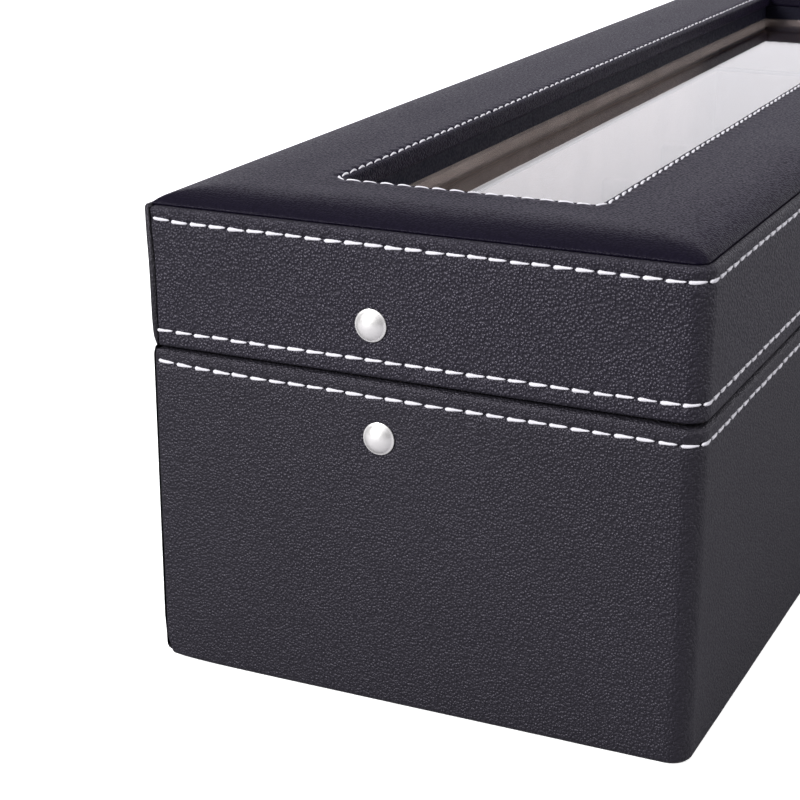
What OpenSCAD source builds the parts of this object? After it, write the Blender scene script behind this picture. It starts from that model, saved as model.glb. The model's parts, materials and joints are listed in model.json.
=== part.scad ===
// A watch box for six watches: a fibreboard base and a hinged lid, both
// covered in stitched leather, with a glass window in a padded lid top.
// Origin: middle of the underside. +X along the length, -Y is the front, +Z up.

/* [Outside] */
// Length of the box, end face to end face
box_l = 330; // [320:2:350]
// Width of the box, front face to back cover
box_w = 100; // [96:1:110]
// Height of the base, up to its rim
base_h = 60; // [58:1:66]
// Height of the lid's stitched side
lid_h = 25; // [24:1:28]
// Slot between the base and the closed lid
lid_gap = 0.4; // [0.3:0.1:0.6]
// Radius of the two upright front corners
corner_r = 4; // [2:0.5:6]
// Height of the padded top above the lid's side
crown_h = 3.2; // [3:0.1:3.8]

/* [Window] */
// Width of the padded border at the two ends
border_x = 23.2; // [20:0.2:28]
// Width of the padded border at the front and back
border_y = 25.6; // [22:0.2:28]
// Distance of the window stitching from the window's edge
window_hem = 1.3; // [1:0.1:2]
// Thickness of the glass
glass_t = 2; // [1.5:0.1:2.5]
// How far the glass reaches under the border
glass_lap = 6; // [4:1:8]

/* [Walls] */
// Thickness of the leather
leather_t = 1; // [0.8:0.1:1.2]
// Thickness of the wall boards
board_t = 5; // [4:0.5:6]
// Thickness of the velvet lining
lining_t = 1; // [0.6:0.1:1.2]
// Thickness of the board under the floor
floor_t = 4; // [3:0.5:5]

/* [Inside] */
// Thickness of a divider
divider_t = 3; // [2:0.5:4]
// Height of a divider above the floor
divider_h = 40; // [30:1:44]
// Gap round a cushion, on each side
cushion_gap = 1.5; // [1:0.1:2]
// Height of a cushion
cushion_h = 46; // [36:1:48]
// Radius of a cushion's long edges
cushion_r = 13; // [8:1:16]

/* [Rivets and lid stays] */
// Diameter of a rivet's domed cap
cap_d = 6; // [5:0.5:8]
// Height of a rivet's domed cap
cap_h = 1.5; // [1:0.1:2]
// Distance of the lid's rivets behind the middle of the box
lid_rivet_y = 7.4; // [5:0.1:9]
// Height of the lid's rivets above the slot
lid_rivet_up = 9; // [8:0.1:10]
// Distance of the base's rivets behind the middle of the box
base_rivet_y = 6; // [5:0.1:9]
// Depth of the base's rivets below the slot
base_rivet_down = 10.7; // [9:0.1:12]
// Length of a stay link between its pivots
link_l = 39.3; // [39.3:0.1:40]
// Width of a stay link
link_w = 7; // [5:0.5:8]

/* [Clasp] */
// Width of the leather tab
tab_w = 22; // [16:1:26]
// Thickness of the leather tab
tab_t = 1.6; // [1.2:0.1:1.8]
// Diameter of the tab's button
button_d = 10; // [8:1:12]

/* [Hidden] */
$fn = 48;
e = 1;                                 // overshoot of a cut

places = 6;                            // watch places in the row
foot_t = 1;                            // felt under the base
skin_z0 = 0.6;                         // lowest edge of the base's leather
thread_t = 0.3;                        // how far the stitching stands proud
thread_h = 0.7;                        // width of a row of stitching
base_row = 3.3;                        // stitching below the base's rim
lid_row = 3;                           // stitching above the lid's lower edge
top_row = 2.5;                         // stitching below the lid's seam
cover_t = 0.9;                         // leather of the back cover
cover_swell = 1;                       // how far the back cover swells at its top
cover_lip = 0.6;                       // back cover above the seam
flex_gap = 0.8;                        // half of the open flex line of the back cover
pad_board_t = 0.8;                     // board under the padding
pad_skin = 0.9;                        // leather over the padding
pad_inset = 0.6;                       // padded top inside the lid's side
pad_board_inset = 4;                   // board under the padding, inside the lid's side
foam_inset = 5;                        // foam inside the lid's side and the window
seam_gap = 0.1;
frame_t = 2.5;                         // glass frame below the glass
top_board_t = 3.7;                     // board round the window
post_r = 1.4;
hole_r = 1.45;
head_r = 2.6;                          // inner head of a rivet
head_t = 0.7;
link_t = 0.8;
link_gap = 0.2;
stay_room = 3.5;                       // width kept free for a stay at each end
floor_pad_t = 1.5;
tab_up = 20;                           // tab above the slot
tab_flex = 6;                          // height of the tab's flex line above the slot
tab_flex_gap = 1.1;                    // half of the open flex line
tab_down = 18;                         // tab below the slot
tab_clear = 0.5;                       // tab in front of the base
button_h = 1.6;
button_up = 9;                         // button above the tab's tip
plate_r = 4.5;
plate_t = 0.6;
tab_rivet_up = 13.5;                   // tab rivet above the slot

end_x = box_l / 2;                     // outer face of an end
front_y = -box_w / 2;                  // outer face of the front
back_y = box_w / 2;                    // outer face of the back cover
board_back_y = back_y - cover_t;       // outer face of the back boards
in_x = end_x - leather_t - board_t - lining_t;
in_front_y = front_y + leather_t + board_t + lining_t;
in_back_y = board_back_y - board_t - lining_t;
in_y = (in_back_y - in_front_y) / 2;   // half the inner width
mid_y = (in_back_y + in_front_y) / 2;
board_x = end_x - leather_t - board_t; // inner faces of the boards
board_front_y = in_front_y - lining_t;
board_in_back_y = in_back_y + lining_t;

lid_z = base_h + lid_gap;              // lower edge of the lid
slot_z = base_h + lid_gap / 2;         // the hinge line's height
hinge_y = back_y - cover_t / 2;
seam_z = lid_z + lid_h;                // top of the lid's side
top_z = seam_z + crown_h;
rim_z = seam_z - leather_t * 0.8;      // top of the board round the window
glass_z = rim_z - top_board_t;         // top of the glass
frame_z = glass_z - glass_t - frame_t; // underside of the glass frame
floor_z = foot_t + floor_t;
pad_z = floor_z + floor_pad_t;         // where the cushions stand

win_x = end_x - border_x;              // half the window
win_y = box_w / 2 - border_y;

room = (2 * (in_x - stay_room) - (places - 1) * divider_t) / places;
pitch = room + divider_t;

base_rivet = [base_rivet_y, slot_z - base_rivet_down];
lid_rivet = [lid_rivet_y, slot_z + lid_rivet_up];
stay_line = lid_rivet - base_rivet;
stay_span = norm(stay_line);
stay_turn = atan2(stay_line[1], stay_line[0]);
stay_fold = acos(stay_span / 2 / link_l);
lower_turn = stay_turn + stay_fold;          // direction of the lower link
upper_turn = stay_turn + 180 - stay_fold;    // direction of the upper link
middle_pin = base_rivet + link_l * [cos(lower_turn), sin(lower_turn)];
lower_link_x = -in_x + 1.5 * link_gap;       // outer face of the lower link, left
upper_link_x = lower_link_x + link_t + link_gap;

tab_z = slot_z + tab_flex;                   // the tab's flex line
tab_tip_z = slot_z - tab_down;
button_z = tab_tip_z + button_up;
tab_y = front_y - tab_clear;                 // back face of the tab
tab_rivet_z = slot_z + tab_rivet_up;

BLACK = "#26262b";
TAUPE = "#8a7f74";
FIBRE = "#a98a62";
THREAD = "#f2f2f4";
NICKEL = "#d9d6cf";
FELT = "#1c1c1e";

// ---------- shared shapes ----------

// Box between two corners.
module block(a, b) {
    translate(a) cube(b - a);
}

// Plan of the box, inset from its outer faces, with rounded front corners.
module plan(inset, y1, r) {
    x = end_x - inset;
    y0 = front_y + inset;
    translate([-x, y0 + r]) square([2 * x, y1 - y0 - r]);
    translate([-x + r, y0]) square([2 * (x - r), r]);
    for (s = [-1, 1]) translate([s * (x - r), y0 + r]) circle(r);
}

// The plan drawn up from z0 to z1.
module plan_solid(inset, y1, r, z0, z1) {
    translate([0, 0, z0]) linear_extrude(z1 - z0) plan(inset, y1, r);
}

// A profile drawn in Y and Z, pushed along X from x0 to x1.
module along_x(x0, x1) {
    translate([x0, 0, 0]) rotate([90, 0, 90]) linear_extrude(x1 - x0) children();
}

// Cylinder along X through both ends at a point in Y and Z.
module end_bores(p, r) {
    along_x(-end_x - e, end_x + e) translate(p) circle(r);
}

// Cylinder along Y at a point in X and Z.
module front_bore(x, z, r, y0, y1) {
    translate([x, y1, z]) rotate([90, 0, 0]) cylinder(y1 - y0, r, r);
}

// Domed cap, standing on the plane z = 0.
module dome(d, h) {
    R = (d * d / 4 + h * h) / (2 * h);
    intersection() {
        translate([0, 0, h - R]) sphere(R);
        cylinder(h + e, d / 2, d / 2);
    }
}

// Rivet through a wall: cap outside, post of the given length, inner head.
module rivet(post, spacer = 0) {
    dome(cap_d, cap_h);
    translate([0, 0, -post]) cylinder(post + 0.2, post_r, post_r);
    translate([0, 0, -post - head_t]) cylinder(head_t, head_r, head_r);
    if (spacer > 0) {
        wall = leather_t + board_t + lining_t;
        translate([0, 0, -wall - spacer]) cylinder(spacer, head_r - 0.3, head_r - 0.3);
    }
}

// One rivet in each end face at a point in Y and Z.
module end_rivets(p, post, spacer = 0) {
    for (side = [0, 1]) mirror([side, 0, 0])
        translate([-end_x, p[0], p[1]]) rotate([0, -90, 0]) rivet(post, spacer);
}

// Thin bead of stitching round the front and both ends, at height z.
module stitch_row(z) {
    translate([0, 0, z - thread_h / 2]) linear_extrude(thread_h) difference() {
        plan(-thread_t, board_back_y, corner_r + thread_t);
        plan(0, board_back_y + e, corner_r);
    }
}

// ---------- base ----------

module base_bottom_board() {
    color(FIBRE) block([-board_x, board_front_y, foot_t],
                       [board_x, board_in_back_y, floor_z]);
}

// Front board of the base or lid, from z0 to z1.
module front_board(z0, z1) {
    intersection() {
        plan_solid(leather_t, board_back_y, corner_r - leather_t, z0, z1);
        block([-end_x, front_y, z0 - e], [end_x, board_front_y, z1 + e]);
    }
}

// Back board of the base or lid, from z0 to z1.
module back_board(z0, z1) {
    block([-end_x + leather_t, board_in_back_y, z0],
          [end_x - leather_t, board_back_y, z1]);
}

// Board of the left end, with a hole for the rivet at p.
module end_board(z0, z1, p) {
    difference() {
        block([-end_x + leather_t, board_front_y, z0], [-board_x, board_in_back_y, z1]);
        end_bores(p, hole_r);
    }
}

module base_front_board() {
    color(FIBRE) front_board(foot_t, base_h - leather_t);
}

module base_back_board() {
    color(FIBRE) back_board(foot_t, base_h - leather_t);
}

module base_left_board() {
    color(FIBRE) end_board(foot_t, base_h - leather_t, base_rivet);
}

module base_right_board() {
    color(FIBRE) mirror([1, 0, 0]) end_board(foot_t, base_h - leather_t, base_rivet);
}

// Leather over the front and ends, turned over the rim on all four sides.
module base_leather() {
    color(BLACK) difference() {
        plan_solid(0, board_back_y, corner_r, skin_z0, base_h);
        plan_solid(leather_t, board_back_y + e, corner_r - leather_t,
                   skin_z0 - e, base_h - leather_t);
        block([-board_x, board_front_y, 0], [board_x, board_in_back_y, base_h + e]);
        end_bores(base_rivet, hole_r);
        front_bore(0, button_z, plate_r + 0.05, front_y - e, front_y + leather_t + 0.1);
    }
}

module base_stitching() {
    color(THREAD) stitch_row(base_h - base_row);
}

module base_felt() {
    color(FELT) block([-end_x + 2 * leather_t, front_y + 2 * leather_t, 0],
                      [end_x - 2 * leather_t, board_back_y - leather_t, foot_t]);
}

module floor_lining() {
    color(TAUPE) block([-in_x, in_front_y, floor_z], [in_x, in_back_y, pad_z]);
}

// Lining of the front wall, from z0 to z1.
module front_lining(z0, z1) {
    block([-board_x, board_front_y, z0], [board_x, in_front_y, z1]);
}

module back_lining(z0, z1) {
    block([-board_x, in_back_y, z0], [board_x, board_in_back_y, z1]);
}

module left_lining(z0, z1, p) {
    difference() {
        block([-board_x, in_front_y, z0], [-in_x, in_back_y, z1]);
        end_bores(p, hole_r);
    }
}

module base_front_lining() {
    color(TAUPE) front_lining(floor_z, base_h - lining_t / 2);
}

module base_back_lining() {
    color(TAUPE) back_lining(floor_z, base_h - lining_t / 2);
}

module base_left_lining() {
    color(TAUPE) left_lining(floor_z, base_h - lining_t / 2, base_rivet);
}

module base_right_lining() {
    color(TAUPE) mirror([1, 0, 0]) left_lining(floor_z, base_h - lining_t / 2, base_rivet);
}

module divider(i) {
    x = (i - places / 2) * pitch;
    color(TAUPE) block([x - divider_t / 2, in_front_y, pad_z],
                       [x + divider_t / 2, in_back_y, pad_z + divider_h]);
}

module cushion(i) {
    x = (i - (places + 1) / 2) * pitch;
    half = room / 2 - cushion_gap;
    long = in_y - 2 * cushion_gap;
    r = cushion_r;
    color(TAUPE) along_x(x - half, x + half) translate([mid_y, pad_z + 0.3]) {
        translate([-long, r]) square([2 * long, cushion_h - 2 * r]);
        translate([-long + r, 0]) square([2 * (long - r), cushion_h]);
        for (s = [-1, 1], t = [r, cushion_h - r]) translate([s * (long - r), t]) circle(r);
    }
}

module base_rivets() {
    wall = leather_t + board_t + lining_t;
    color(NICKEL) end_rivets(base_rivet, wall + 2 * link_gap + link_t);
}

// Lower half of the back cover, up to the flex line.
module back_cover_base() {
    color(BLACK) block([-end_x + leather_t / 2, board_back_y, skin_z0],
                       [end_x - leather_t / 2, back_y, slot_z - flex_gap]);
}

module catch_plate() {
    color(NICKEL) front_bore(0, button_z, plate_r, front_y - 0.1, front_y + leather_t);
}

// ---------- lid ----------

module lid_front_board() {
    color(FIBRE) difference() {
        front_board(lid_z + leather_t, glass_z);
        front_bore(0, tab_rivet_z, hole_r, front_y - e, in_front_y + e);
    }
}

module lid_back_board() {
    color(FIBRE) back_board(lid_z + leather_t, glass_z);
}

module lid_left_board() {
    color(FIBRE) end_board(lid_z + leather_t, glass_z, lid_rivet);
}

module lid_right_board() {
    color(FIBRE) mirror([1, 0, 0]) end_board(lid_z + leather_t, glass_z, lid_rivet);
}

// Window-sized prism from z0 to z1, grown by g.
module window(z0, z1, g = 0) {
    block([-win_x - g, -win_y - g, z0], [win_x + g, win_y + g, z1]);
}

module lid_top_board() {
    color(BLACK) difference() {
        plan_solid(leather_t, board_back_y, corner_r - leather_t, glass_z, rim_z);
        window(glass_z - e, rim_z + e);
    }
}

// Leather over the lid's front and ends, turned over both edges.
module lid_leather() {
    turn = leather_t + board_t;
    color(BLACK) difference() {
        plan_solid(0, board_back_y, corner_r, lid_z, seam_z);
        plan_solid(leather_t, board_back_y + e, corner_r - leather_t,
                   lid_z + leather_t, rim_z);
        block([-board_x, board_front_y, lid_z - e], [board_x, board_in_back_y, seam_z + e]);
        end_bores(lid_rivet, hole_r);
        front_bore(0, tab_rivet_z, hole_r, front_y - e, front_y + turn);
    }
}

module lid_lower_stitching() {
    color(THREAD) stitch_row(lid_z + lid_row);
}

module lid_upper_stitching() {
    color(THREAD) stitch_row(seam_z - top_row);
}

// Height of the padded top at a share t of the border, 0 outside, 1 at the window.
function pad_top(t) =
    let (rise = 0.3, swell = sin(90 * min(t / 0.4, 1)), sag = max(t - 0.4, 0) / 0.6)
    seam_z + crown_h * (rise + (1 - rise) * swell) - 0.8 * sag * sag;

PAD_STEPS = 10;
function pad_share(t0) = [for (i = [0:PAD_STEPS]) t0 + (1 - t0) * i / PAD_STEPS];

// Profile of the leather over a border of width b: distance in, height.
module pad_leather_profile(b) {
    t0 = pad_inset / b;
    shares = pad_share(t0);
    outer = [for (t = shares) [t * b, pad_top(t)]];
    inner = [for (i = [PAD_STEPS:-1:0])
        [min(max(shares[i] * b, pad_inset + pad_skin), b - pad_skin), pad_top(shares[i]) - pad_skin]];
    polygon(concat(outer, [[b, rim_z], [b - pad_skin, rim_z]], inner,
                   [[pad_inset + pad_skin, seam_z + seam_gap], [pad_inset, seam_z + seam_gap]]));
}

// Profile of the foam: from the pad board to the leather.
module pad_foam_profile(b) {
    z = seam_z + seam_gap + pad_board_t;
    a = foam_inset;
    shares = [for (i = [0:PAD_STEPS]) (a + (b - 2 * a) * i / PAD_STEPS) / b];
    polygon(concat([for (t = shares) [t * b, pad_top(t) - pad_skin - 0.05]],
                   [[b - a, z], [a, z]]));
}

// Four mitred rails round the window. Child 0 is the end rails' profile,
// child 1 the front and back rails' profile.
module mitred_rails() {
    far = end_x + e;
    for (turn = [0, 1]) mirror([turn, 0, 0]) intersection() {
        translate([-end_x, back_y, 0]) rotate([90, 0, 0]) linear_extrude(box_w) children(0);
        linear_extrude(2 * top_z)
            polygon([[-end_x, front_y], [-win_x, -win_y], [-win_x, win_y], [-end_x, back_y]]);
    }
    for (turn = [0, 1]) mirror([0, turn, 0]) intersection() {
        along_x(-end_x, end_x) translate([front_y, 0]) children(1);
        linear_extrude(2 * top_z)
            polygon([[-end_x, front_y], [end_x, front_y], [win_x, -win_y], [-win_x, -win_y]]);
    }
}

module top_pad_board() {
    a = pad_board_inset;
    z0 = seam_z + seam_gap;
    color(FIBRE) difference() {
        block([-end_x + a, front_y + a, z0], [end_x - a, back_y - a, z0 + pad_board_t]);
        window(z0 - e, top_z, pad_skin + 0.1);
    }
}

module top_padding() {
    color("#d8d2c4") mitred_rails() {
        pad_foam_profile(border_x);
        pad_foam_profile(border_y);
    }
}

module top_leather() {
    color(BLACK) mitred_rails() {
        pad_leather_profile(border_x);
        pad_leather_profile(border_y);
    }
}

module window_stitching() {
    outer = window_hem + thread_h / 2;
    z = pad_top(1 - outer / min(border_x, border_y));
    color(THREAD) difference() {
        window(z, z + thread_t, outer);
        window(z - e, z + e, outer - thread_h);
    }
}

module window_glass() {
    color("#cfd6d6", 0.35) window(glass_z - glass_t, glass_z, glass_lap);
}

// Velvet-covered frame that holds the glass up against the board above.
module glass_frame() {
    color(TAUPE) difference() {
        block([-board_x, board_front_y, frame_z], [board_x, board_in_back_y, glass_z]);
        window(glass_z - glass_t, glass_z + e, glass_lap + 0.1);
        window(frame_z - e, glass_z + e);
    }
}

module lid_front_lining() {
    color(TAUPE) difference() {
        front_lining(lid_z + lining_t / 2, frame_z);
        front_bore(0, tab_rivet_z, hole_r, front_y - e, in_front_y + e);
    }
}

module lid_back_lining() {
    color(TAUPE) back_lining(lid_z + lining_t / 2, frame_z);
}

module lid_left_lining() {
    color(TAUPE) left_lining(lid_z + lining_t / 2, frame_z, lid_rivet);
}

module lid_right_lining() {
    color(TAUPE) mirror([1, 0, 0]) left_lining(lid_z + lining_t / 2, frame_z, lid_rivet);
}

module lid_rivets() {
    wall = leather_t + board_t + lining_t;
    spacer = link_gap + link_t + link_gap / 2;
    color(NICKEL) end_rivets(lid_rivet, wall + 3 * link_gap + 2 * link_t, spacer);
}

// Upper half of the back cover. It swells away from the lid towards its top.
module back_cover_lid() {
    y0 = board_back_y;
    y1 = back_y;
    z0 = slot_z + flex_gap;
    z1 = seam_z + cover_lip;
    s = cover_swell;
    color(BLACK) along_x(-end_x + leather_t / 2, end_x - leather_t / 2)
        polygon([[y0, z0], [y1, z0], [y1, z0 + 0.25 * lid_h], [y1 + 0.8 * s, z0 + 0.75 * lid_h],
                 [y1 + s, z1 - 3], [y1 + 0.8 * s, z1 - 1], [y1 + 0.2 * s, z1],
                 [y0, z1 - 1.2]]);
}

// ---------- clasp ----------

// Upper end of the tab, fixed to the lid.
module tab_anchor() {
    color(BLACK) difference() {
        block([-tab_w / 2, tab_y - tab_t, tab_z + tab_flex_gap],
              [tab_w / 2, front_y, slot_z + tab_up]);
        front_bore(0, tab_rivet_z, hole_r, tab_y - tab_t - e, front_y + e);
    }
}

module tab_rivet() {
    wall = leather_t + board_t + lining_t;
    color(NICKEL) translate([0, tab_y - tab_t, tab_rivet_z]) rotate([90, 0, 0])
        rivet(wall + tab_clear + tab_t);
}

// Free end of the tab, with a round tip.
module clasp_tab() {
    r = tab_w / 2;
    color(BLACK) difference() {
        union() {
            block([-r, tab_y - tab_t, tab_tip_z + r], [r, tab_y, tab_z - tab_flex_gap]);
            front_bore(0, tab_tip_z + r, r, tab_y - tab_t, tab_y);
        }
        front_bore(0, button_z, hole_r, tab_y - tab_t - e, tab_y + e);
        front_bore(0, button_z, plate_r + 0.05, tab_y - plate_t, tab_y + e);
    }
}

// Domed button, with the magnet plate behind the tab.
module tab_button() {
    color(NICKEL) {
        translate([0, tab_y - tab_t, button_z]) rotate([90, 0, 0]) dome(button_d, button_h);
        front_bore(0, button_z, post_r, tab_y - tab_t - 0.2, tab_y);
        front_bore(0, button_z, plate_r, tab_y - plate_t, tab_y);
    }
}

// ---------- lid stays ----------

// Flat link from p towards the angle turn, its outer face at x.
module link(p, turn, x) {
    along_x(x, x + link_t) translate(p) rotate(turn) difference() {
        union() {
            circle(link_w / 2);
            translate([link_l, 0]) circle(link_w / 2);
            translate([0, -link_w / 2]) square([link_l, link_w]);
        }
        circle(hole_r);
        translate([link_l, 0]) circle(hole_r);
    }
}

module lower_link() {
    color(NICKEL) link(base_rivet, lower_turn, lower_link_x);
}

module upper_link() {
    color(NICKEL) link(lid_rivet, upper_turn, upper_link_x);
}

// Part of the middle rivet that stays with the lower link.
module link_pin() {
    color(NICKEL) {
        along_x(lower_link_x - 0.2, lower_link_x) translate(middle_pin) circle(head_r - 0.2);
        along_x(lower_link_x - 0.1, lower_link_x + link_t) translate(middle_pin) circle(post_r);
    }
}

// Part of the middle rivet that stays with the upper link.
module link_cap() {
    x = upper_link_x + link_t;
    color(NICKEL) {
        translate([x, middle_pin[0], middle_pin[1]]) rotate([0, 90, 0]) dome(2 * head_r, head_t);
        along_x(upper_link_x, x + 0.1) translate(middle_pin) circle(post_r);
    }
}

// ---------- nodes ----------

base_bottom_board();
base_front_board();
base_back_board();
base_left_board();
base_right_board();
base_leather();
base_stitching();
base_felt();
floor_lining();
base_front_lining();
base_back_lining();
base_left_lining();
base_right_lining();
base_rivets();
back_cover_base();
catch_plate();
lid_front_board();
lid_back_board();
lid_left_board();
lid_right_board();
lid_top_board();
lid_leather();
lid_lower_stitching();
lid_upper_stitching();
top_pad_board();
top_padding();
top_leather();
window_stitching();
window_glass();
glass_frame();
lid_front_lining();
lid_back_lining();
lid_left_lining();
lid_right_lining();
lid_rivets();
back_cover_lid();
tab_anchor();
tab_rivet();
clasp_tab();
tab_button();
lower_link();  // left_lower_link
upper_link();  // left_upper_link
mirror([1, 0, 0]) lower_link();  // right_lower_link
mirror([1, 0, 0]) upper_link();  // right_upper_link
link_pin();  // left_link_pin
link_cap();  // left_link_cap
mirror([1, 0, 0]) link_pin();  // right_link_pin
mirror([1, 0, 0]) link_cap();  // right_link_cap
divider(1);  // divider_1
divider(2);  // divider_2
divider(3);  // divider_3
divider(4);  // divider_4
divider(5);  // divider_5
cushion(1);  // cushion_1
cushion(2);  // cushion_2
cushion(3);  // cushion_3
cushion(4);  // cushion_4
cushion(5);  // cushion_5
cushion(6);  // cushion_6
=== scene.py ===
"""Looks of the watch box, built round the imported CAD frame.

Lengths are in millimetres until make_mesh() turns them into metres. The frame has
+X along the box, -Y at the front with the tab, +Y at the hinged back, +Z up.
"""
import json
import math
import random

import bmesh
import bpy
from mathutils import Matrix, Vector, noise


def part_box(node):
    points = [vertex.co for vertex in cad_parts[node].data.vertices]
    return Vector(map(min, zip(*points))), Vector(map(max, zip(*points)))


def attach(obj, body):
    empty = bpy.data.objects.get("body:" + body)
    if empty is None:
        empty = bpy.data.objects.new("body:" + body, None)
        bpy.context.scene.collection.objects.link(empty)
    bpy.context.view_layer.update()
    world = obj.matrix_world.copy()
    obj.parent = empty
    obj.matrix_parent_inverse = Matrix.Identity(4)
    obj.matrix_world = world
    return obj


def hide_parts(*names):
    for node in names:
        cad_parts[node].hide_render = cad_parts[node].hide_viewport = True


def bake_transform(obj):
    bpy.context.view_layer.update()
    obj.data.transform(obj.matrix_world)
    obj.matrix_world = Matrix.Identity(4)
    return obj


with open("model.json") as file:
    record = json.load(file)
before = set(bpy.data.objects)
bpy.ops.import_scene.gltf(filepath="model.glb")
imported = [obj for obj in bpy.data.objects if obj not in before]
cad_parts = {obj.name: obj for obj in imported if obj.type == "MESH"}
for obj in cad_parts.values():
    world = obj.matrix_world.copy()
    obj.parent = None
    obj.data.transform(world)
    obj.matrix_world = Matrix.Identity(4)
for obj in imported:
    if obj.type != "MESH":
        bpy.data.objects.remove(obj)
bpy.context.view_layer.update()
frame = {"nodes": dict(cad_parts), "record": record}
NODES = frame["nodes"]
MM = 0.001


def cad_box(node):
    """Lowest and highest corner of a CAD node, in millimetres."""
    lo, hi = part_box(node)
    return lo / MM, hi / MM


# ---------- sizes taken from the frame ----------

base_lo, base_hi = cad_box("base_leather")
lid_lo, lid_hi = cad_box("lid_leather")
cover_lo, cover_hi = cad_box("back_cover_base")
lid_cover_hi = cad_box("back_cover_lid")[1]
window_row_hi = cad_box("window_stitching")[1]

END_X = base_hi.x               # outer face of an end
FRONT_Y = base_lo.y             # outer face of the front
SKIN_Y = base_hi.y              # where the side leather meets the back cover
BACK_Y = cover_hi.y             # outer face of the back cover
RIM_Z = base_hi.z               # top of the base
LID_Z = lid_lo.z                # lower edge of the lid
SEAM_Z = lid_hi.z               # top of the lid's side
SLOT_Z = (RIM_Z + LID_Z) / 2    # height of the hinge line

CORNER_R = 4.0                  # upright front corners
BACK_R = 0.5                    # upright back corners
BOARD_T = 6.0                   # wall board with its leather
THREAD_W = 0.7                  # width of a row of stitching in the frame
WINDOW_HEM = 1.3                # stitching to the window's edge
WIN_X = window_row_hi.x - WINDOW_HEM - THREAD_W / 2
WIN_Y = window_row_hi.y - WINDOW_HEM - THREAD_W / 2 - 0.8   # the leather stands proud of the board

BASE_ROW_Z = sum(v.z for v in cad_box("base_stitching")) / 2
LID_ROW_Z = sum(v.z for v in cad_box("lid_lower_stitching")) / 2
TOP_ROW_Z = sum(v.z for v in cad_box("lid_upper_stitching")) / 2
BASE_RIVET = sum(cad_box("base_rivets"), Vector()) / 2
LID_RIVET = sum(cad_box("lid_rivets"), Vector()) / 2

STITCH = 3.66                   # pitch of the stitching on the sides
WINDOW_STITCH = 3.3             # pitch of the stitching round the window


# ---------- meshes ----------

def make_mesh(name, verts, faces, material, smooth=True):
    """A mesh object from points in millimetres."""
    data = bpy.data.meshes.new(name)
    data.from_pydata([Vector(v) * MM for v in verts], [], faces)
    obj = bpy.data.objects.new(name, data)
    bpy.context.scene.collection.objects.link(obj)
    tidy = bmesh.new()
    tidy.from_mesh(data)
    bmesh.ops.remove_doubles(tidy, verts=tidy.verts, dist=0.002 * MM)
    bmesh.ops.dissolve_degenerate(tidy, edges=tidy.edges, dist=0.001 * MM)
    bmesh.ops.recalc_face_normals(tidy, faces=tidy.faces)
    for face in tidy.faces:
        face.smooth = smooth
    tidy.to_mesh(data)
    tidy.free()
    data.materials.append(material)
    return obj


def finish_piece(obj, body, slot, *replaced):
    """Says what a rigid piece rides on and hides the CAD nodes it stands for. The slot is not used."""
    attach(obj, body)
    if replaced:
        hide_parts(*replaced)
    return obj


def loft_faces(rows, columns, start=0, close_columns=True, close_rows=False):
    """Quads between rows of the same number of points."""
    faces = []
    for i in range(rows if close_rows else rows - 1):
        a, b = start + i * columns, start + (i + 1) % rows * columns
        for j in range(columns if close_columns else columns - 1):
            k = (j + 1) % columns
            faces.append((a + j, a + k, b + k, b + j))
    return faces


def lathe(profile, matrix, steps=48):
    """Points and faces of a profile of (radius, height) turned round matrix's Z axis."""
    verts, faces = [], []
    for radius, height in profile:
        for k in range(steps):
            a = 2 * math.pi * k / steps
            verts.append(matrix @ Vector((radius * math.cos(a), radius * math.sin(a), height)))
    faces += loft_faces(len(profile), steps)
    return verts, faces


def arc(cx, cy, radius, start, end, steps):
    """Points of an arc from start to end, in degrees."""
    angles = [math.radians(start + (end - start) * k / steps) for k in range(steps + 1)]
    return [(cx + radius * math.cos(a), cy + radius * math.sin(a)) for a in angles]


def bell(value, width):
    """1 at zero, falling to nothing at about twice the width on either side."""
    return math.exp(-(value / width) ** 2)


class Loop:
    """A rounded rectangle, walked from the back of the left end towards the front."""

    BACK = 6                    # the straight part along the back

    def __init__(self, x, front, back, front_r, back_r):
        corners = [((-x, front), front_r, 180), ((x, front), front_r, 270),
                   ((x, back), back_r, 0), ((-x, back), back_r, 90)]
        centres = []
        for (cx, cy), r, angle in corners:
            sx, sy = (1 if cx < 0 else -1), (1 if cy == front else -1)
            centres.append((Vector((cx + sx * r, cy + sy * r)), r, angle))
        self.parts = []
        for k in range(4):
            centre, r, angle = centres[k]
            before, before_r, _ = centres[k - 1]
            n = Vector((math.cos(math.radians(angle)), math.sin(math.radians(angle))))
            self.parts.append(("line", before + n * before_r, centre + n * r, n))
            self.parts.append(("arc", centre, r, angle))
        self.lengths = [(p[2] - p[1]).length if p[0] == "line" else p[2] * math.pi / 2
                        for p in self.parts]
        self.length = sum(self.lengths)

    def at(self, part, share):
        """Point and outward normal at a share of one part."""
        p = self.parts[part]
        if p[0] == "line":
            return p[1].lerp(p[2], share), p[3]
        a = math.radians(p[3] + 90 * share)
        n = Vector((math.cos(a), math.sin(a)))
        return p[1] + n * p[2], n

    def walk(self, s):
        """Part and share at a distance s along the loop."""
        s %= self.length
        for part, length in enumerate(self.lengths):
            if s <= length:
                return part, s / max(length, 1e-9)
            s -= length
        return 0, 0.0

    def columns(self, step, back_step=None):
        """(part, share, distance) of evenly spaced columns. The back may be coarser."""
        out, before = [], 0.0
        for part, length in enumerate(self.lengths):
            here = back_step if back_step and part == self.BACK else step
            count = max(4, round(length / here))
            out += [(part, k / count, before + length * k / count) for k in range(count)]
            before += length
        return out


# ---------- materials ----------

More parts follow.
